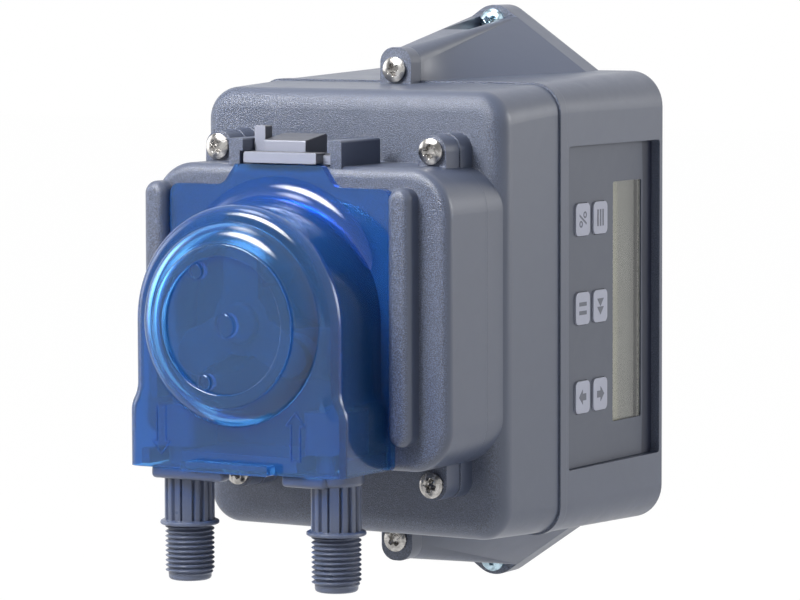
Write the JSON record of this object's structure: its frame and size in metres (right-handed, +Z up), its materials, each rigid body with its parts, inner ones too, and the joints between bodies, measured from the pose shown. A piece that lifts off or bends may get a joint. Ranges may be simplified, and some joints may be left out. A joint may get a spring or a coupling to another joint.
{
  "type": "peristaltic metering pump",
  "caption": "Wall-hung peristaltic metering pump: grey casing with mounting ears, side display and keys, blue cover over a roller head, threaded hose connectors.",
  "frame": {"origin": "centre of the casing's back on the wall plane, midway between the two wall screw holes", "axes": "+X right seen from the front, +Y into the wall, +Z up"},
  "size_m": [0.0998, 0.1458, 0.164],
  "materials": {
    "casing_grey": "fine grained moulding, satin",
    "head_grey": "fine grained moulding, satin",
    "cover_blue": "clear blue tinted, polished",
    "connector_grey": "smooth, semi-gloss",
    "latch_black": "smooth, semi-gloss",
    "screw_steel": "bright nickel plated",
    "film_grey": "printed film, glossy",
    "key_grey": "printed key, satin",
    "lcd_glass": "clear window",
    "lcd_module": "display face",
    "rubber_black": "matt",
    "tube_rubber": "matt elastomer",
    "steel": "machined",
    "brass": "machined",
    "nylon_white": "satin",
    "rotor_plastic": "satin",
    "motor_steel": "zinc plated",
    "board_green": "solder mask",
    "part_black": "moulded",
    "terminal_green": "moulded"
  },
  "bodies": {
    "pump_body": {"cable_grommet": "rubber_black", "capacitors": "part_black", "casing_gasket": "rubber_black", "casing_screws": "screw_steel", "control_board": "board_green", "control_film": "film_grey", "display_module": "lcd_module", "display_window": "lcd_glass", "front_bush": "brass", "front_casing": "casing_grey", "gearbox_front_plate": "steel", "gearbox_rear_plate": "steel", "gearbox_screws": "screw_steel", "gearbox_spacers": "steel", "head_housing": "head_grey", "head_screws": "screw_steel", "hose_connector_left": "connector_grey", "hose_connector_right": "connector_grey", "idler_pin": "steel", "key_switches": "part_black", "motor_can": "motor_steel", "motor_end_cap": "part_black", "power_board": "board_green", "pump_tube": "tube_rubber", "rear_bush": "brass", "rear_casing": "casing_grey", "shaft_seal": "rubber_black", "terminal_block": "terminal_green", "transformer": "motor_steel"},
    "rotor": {"output_shaft": "steel", "output_gear": "brass", "rotor_frame": "rotor_plastic", "rotor_front_plate": "rotor_plastic", "roller_pins": "steel", "rotor_cap": "rotor_plastic"},
    "roller_1": {"roller_1": "nylon_white"},
    "roller_2": {"roller_2": "nylon_white"},
    "roller_3": {"roller_3": "nylon_white"},
    "idler": {"idler_gear": "nylon_white"},
    "motor_rotor": {"motor_shaft": "steel", "motor_pinion": "brass"},
    "cover": {"pump_cover": "cover_blue"},
    "latch": {"cover_latch": "latch_black"},
    "key_1": {"key_1": "key_grey"},
    "key_2": {"key_2": "key_grey"},
    "key_3": {"key_3": "key_grey"},
    "key_4": {"key_4": "key_grey"},
    "key_5": {"key_5": "key_grey"},
    "key_6": {"key_6": "key_grey"}
  },
  "joints": [
    {"name": "rotor_spin", "type": "hinge", "parent": "pump_body", "child": "rotor", "pos_m": [-0.0042, -0.126, 0.0004], "axis": [0, 1, 0], "continuous": true},
    {"name": "roller_1_spin", "type": "hinge", "parent": "rotor", "child": "roller_1", "pos_m": [-0.0042, -0.126, 0.017], "axis": [0, 1, 0], "continuous": true},
    {"name": "roller_2_spin", "type": "hinge", "parent": "rotor", "child": "roller_2", "pos_m": [-0.01858, -0.126, -0.0079], "axis": [0, 1, 0], "continuous": true},
    {"name": "roller_3_spin", "type": "hinge", "parent": "rotor", "child": "roller_3", "pos_m": [0.01018, -0.126, -0.0079], "axis": [0, 1, 0], "continuous": true},
    {"name": "idler_spin", "type": "hinge", "parent": "pump_body", "child": "idler", "pos_m": [-0.0042, -0.075, 0.0244], "axis": [0, 1, 0], "continuous": true},
    {"name": "motor_spin", "type": "hinge", "parent": "pump_body", "child": "motor_rotor", "pos_m": [-0.02221, -0.072, 0.014], "axis": [0, 1, 0], "continuous": true},
    {"name": "cover_pull", "type": "slide", "parent": "pump_body", "child": "cover", "axis": [0, -1, 0], "range_m": [0, 0.035]},
    {"name": "latch_slide", "type": "slide", "parent": "pump_body", "child": "latch", "axis": [0, 1, 0], "range_m": [0, 0.0045]},
    {"name": "key_1_press", "type": "slide", "parent": "pump_body", "child": "key_1", "axis": [-1, 0, 0], "range_m": [0, 0.00035], "stiffness_N_per_m": 1500},
    {"name": "key_2_press", "type": "slide", "parent": "pump_body", "child": "key_2", "axis": [-1, 0, 0], "range_m": [0, 0.00035], "stiffness_N_per_m": 1500},
    {"name": "key_3_press", "type": "slide", "parent": "pump_body", "child": "key_3", "axis": [-1, 0, 0], "range_m": [0, 0.00035], "stiffness_N_per_m": 1500},
    {"name": "key_4_press", "type": "slide", "parent": "pump_body", "child": "key_4", "axis": [-1, 0, 0], "range_m": [0, 0.00035], "stiffness_N_per_m": 1500},
    {"name": "key_5_press", "type": "slide", "parent": "pump_body", "child": "key_5", "axis": [-1, 0, 0], "range_m": [0, 0.00035], "stiffness_N_per_m": 1500},
    {"name": "key_6_press", "type": "slide", "parent": "pump_body", "child": "key_6", "axis": [-1, 0, 0], "range_m": [0, 0.00035], "stiffness_N_per_m": 1500}
  ],
  "couplings": [
    {"joint": "roller_1_spin", "follows": "rotor_spin", "ratio": -3.4058},
    {"joint": "roller_2_spin", "follows": "rotor_spin", "ratio": -3.4058},
    {"joint": "roller_3_spin", "follows": "rotor_spin", "ratio": -3.4058},
    {"joint": "idler_spin", "follows": "rotor_spin", "ratio": -4},
    {"joint": "motor_spin", "follows": "rotor_spin", "ratio": 13.333}
  ]
}
